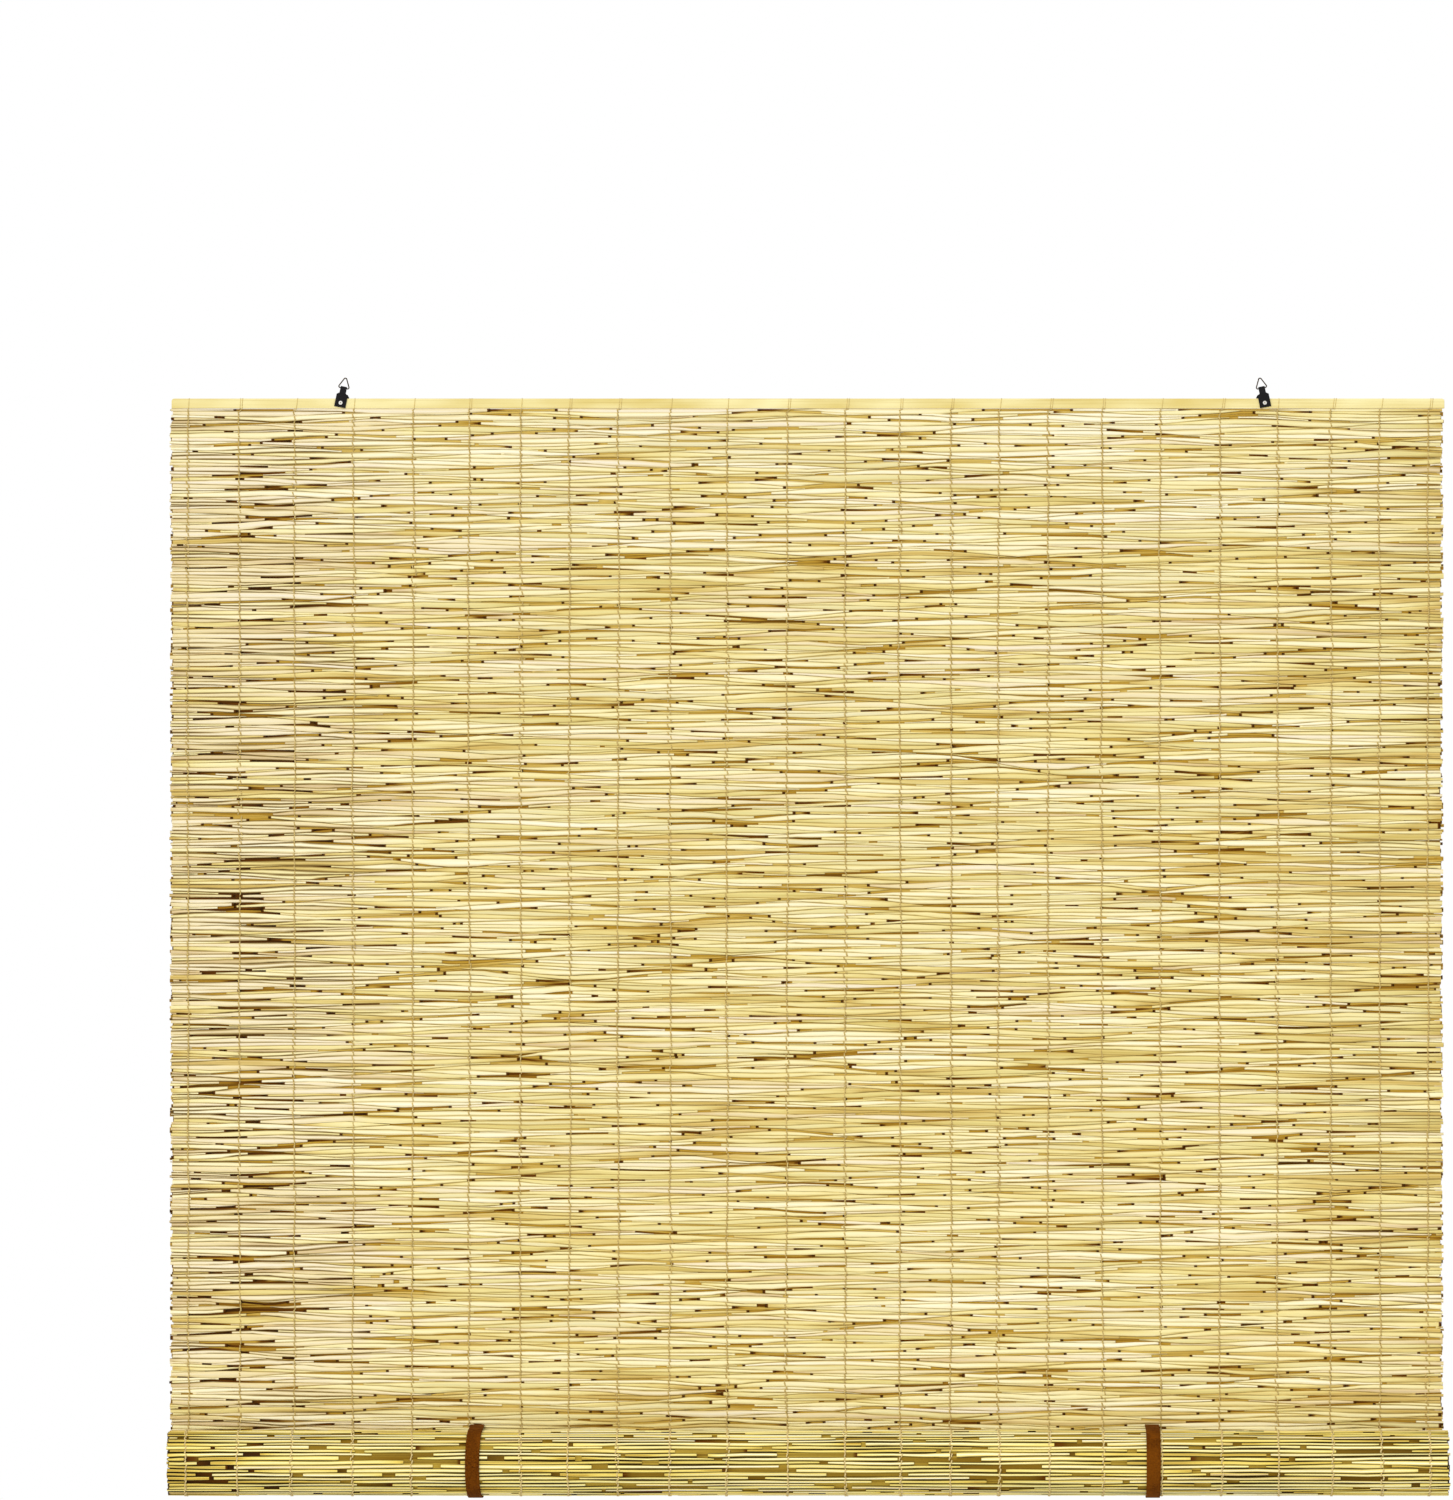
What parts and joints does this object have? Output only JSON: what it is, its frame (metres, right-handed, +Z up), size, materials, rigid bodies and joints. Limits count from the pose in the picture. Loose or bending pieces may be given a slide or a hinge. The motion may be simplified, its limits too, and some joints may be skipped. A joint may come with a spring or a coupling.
{
  "type": "reed roll-up blind",
  "caption": "Roll-up reed blind: a thread-bound reed mat hung from a bamboo head slat by ring hangers, its lower end rolled up to the front and held by leather straps.",
  "frame": {"origin": "on the blind's centre line, level with the inside tops of the two hanging rings, at the middle of the mat's thickness", "axes": "+X along the head slat, -Y towards the viewer at the front, +Z up"},
  "size_m": [1.408, 0.0836, 1.2301],
  "materials": {
    "reed": "natural, dull",
    "bamboo": "planed, satin",
    "thread": "twisted",
    "black_leather": "grained",
    "brown_leather": "pebbled",
    "dark_steel": "burnished",
    "nickel": "polished"
  },
  "bodies": {
    "blind": {"head_slat": "bamboo", "hanging_mat": "reed", "mat_roll": "reed", "binding_thread_01": "thread", "binding_thread_02": "thread", "binding_thread_03": "thread", "binding_thread_04": "thread", "binding_thread_05": "thread", "binding_thread_06": "thread", "binding_thread_07": "thread", "binding_thread_08": "thread", "binding_thread_09": "thread", "binding_thread_10": "thread", "binding_thread_11": "thread", "binding_thread_12": "thread", "binding_thread_13": "thread", "binding_thread_14": "thread", "binding_thread_15": "thread", "binding_thread_16": "thread", "binding_thread_17": "thread", "binding_thread_18": "thread", "binding_thread_19": "thread", "binding_thread_20": "thread", "binding_thread_21": "thread", "binding_thread_22": "thread", "binding_thread_23": "thread", "binding_thread_24": "thread", "left_hanger_rivet": "nickel", "left_roll_strap": "brown_leather", "left_stud_cap": "nickel", "left_stud_post": "nickel", "right_hanger_rivet": "nickel", "right_roll_strap": "brown_leather", "right_stud_cap": "nickel", "right_stud_post": "nickel"},
    "left_tag": {"left_hanger_tag": "black_leather"},
    "left_ring": {"left_hanger_ring": "dark_steel"},
    "right_tag": {"right_hanger_tag": "black_leather"},
    "right_ring": {"right_hanger_ring": "dark_steel"}
  },
  "joints": [
    {"name": "left_tag_swivel", "type": "hinge", "parent": "blind", "child": "left_tag", "pos_m": [-0.51407, 0, -0.02641], "axis": [0, 1, 0], "range_deg": [-41.5, 18.5]},
    {"name": "left_ring_swing", "type": "hinge", "parent": "left_tag", "child": "left_ring", "pos_m": [-0.5108, 0, -0.01034], "axis": [0.9799, 0, -0.1994], "range_deg": [-115, 115]},
    {"name": "right_tag_swivel", "type": "hinge", "parent": "blind", "child": "right_tag", "pos_m": [0.50237, 0, -0.02641], "axis": [0, 1, 0], "range_deg": [-18.5, 41.5]},
    {"name": "right_ring_swing", "type": "hinge", "parent": "right_tag", "child": "right_ring", "pos_m": [0.4991, 0, -0.01034], "axis": [0.9799, 0, 0.1994], "range_deg": [-115, 115]}
  ]
}
